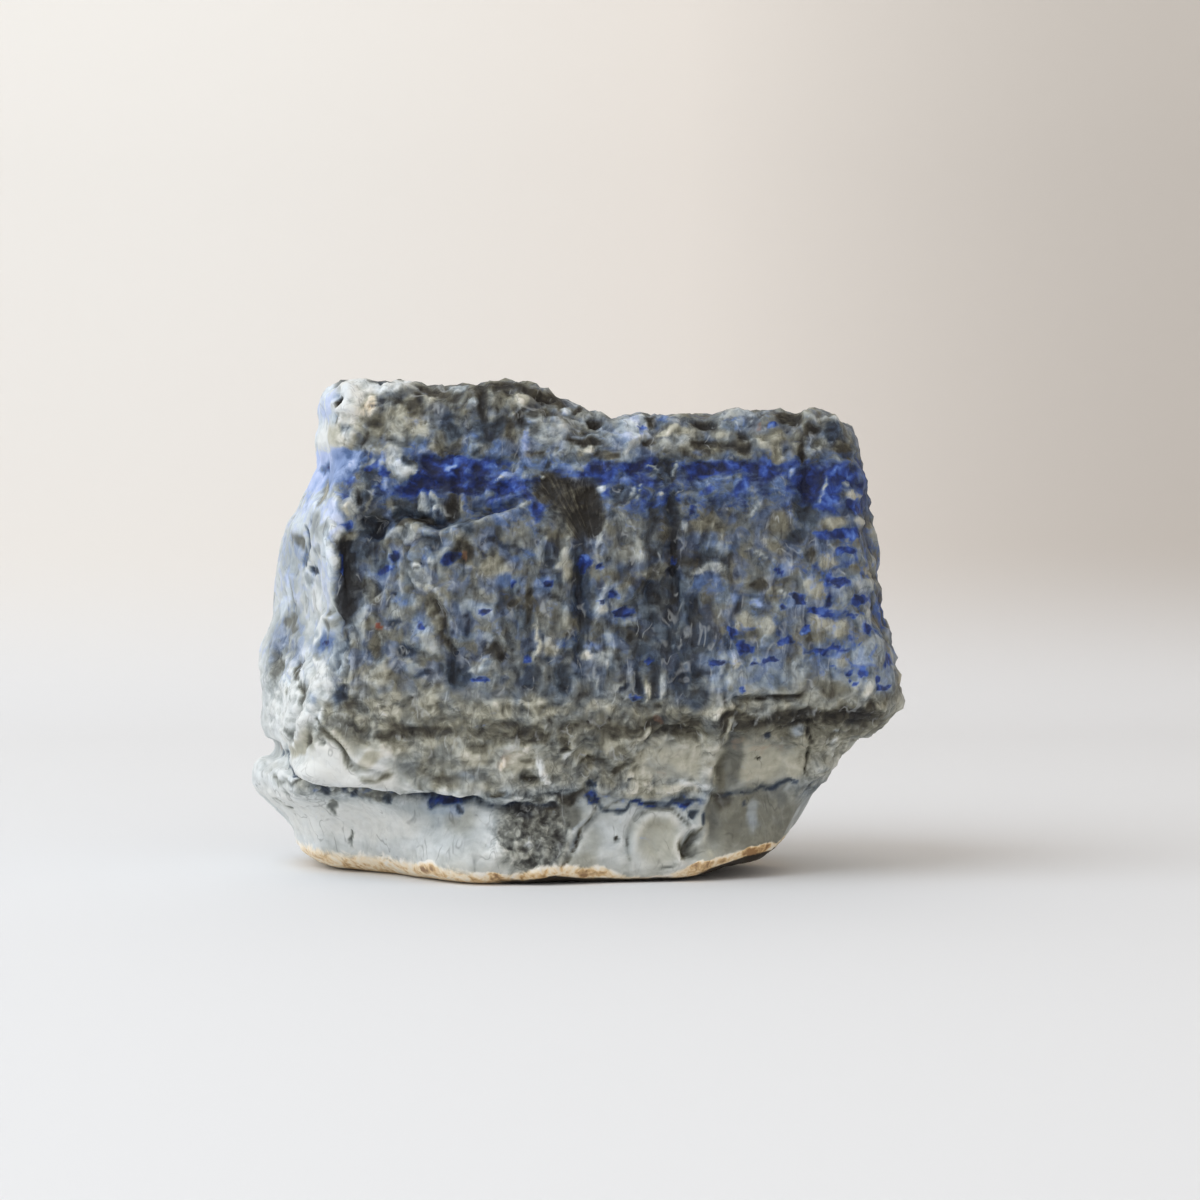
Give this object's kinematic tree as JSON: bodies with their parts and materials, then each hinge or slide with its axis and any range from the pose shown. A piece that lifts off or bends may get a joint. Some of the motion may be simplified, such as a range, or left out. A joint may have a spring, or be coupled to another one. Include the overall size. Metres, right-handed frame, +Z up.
{
  "type": "rough lapis lazuli stone",
  "caption": "Rough broken block of bedded blue and white lapis lazuli, standing on a flat foot, for display or as a prop.",
  "frame": {"origin": "middle of the stone's bounding box in X and Y, on the surface it rests on", "axes": "+X to the right along the stone's width as seen from the front, +Y from the banded front face to the back, +Z up"},
  "size_m": [0.1106, 0.064, 0.0824],
  "materials": {
    "lapis_and_calcite": "rough broken natural surface, bedded in blue, grey and cream"
  },
  "bodies": {
    "root": {"lapis_stone": "lapis_and_calcite"}
  },
  "joints": []
}
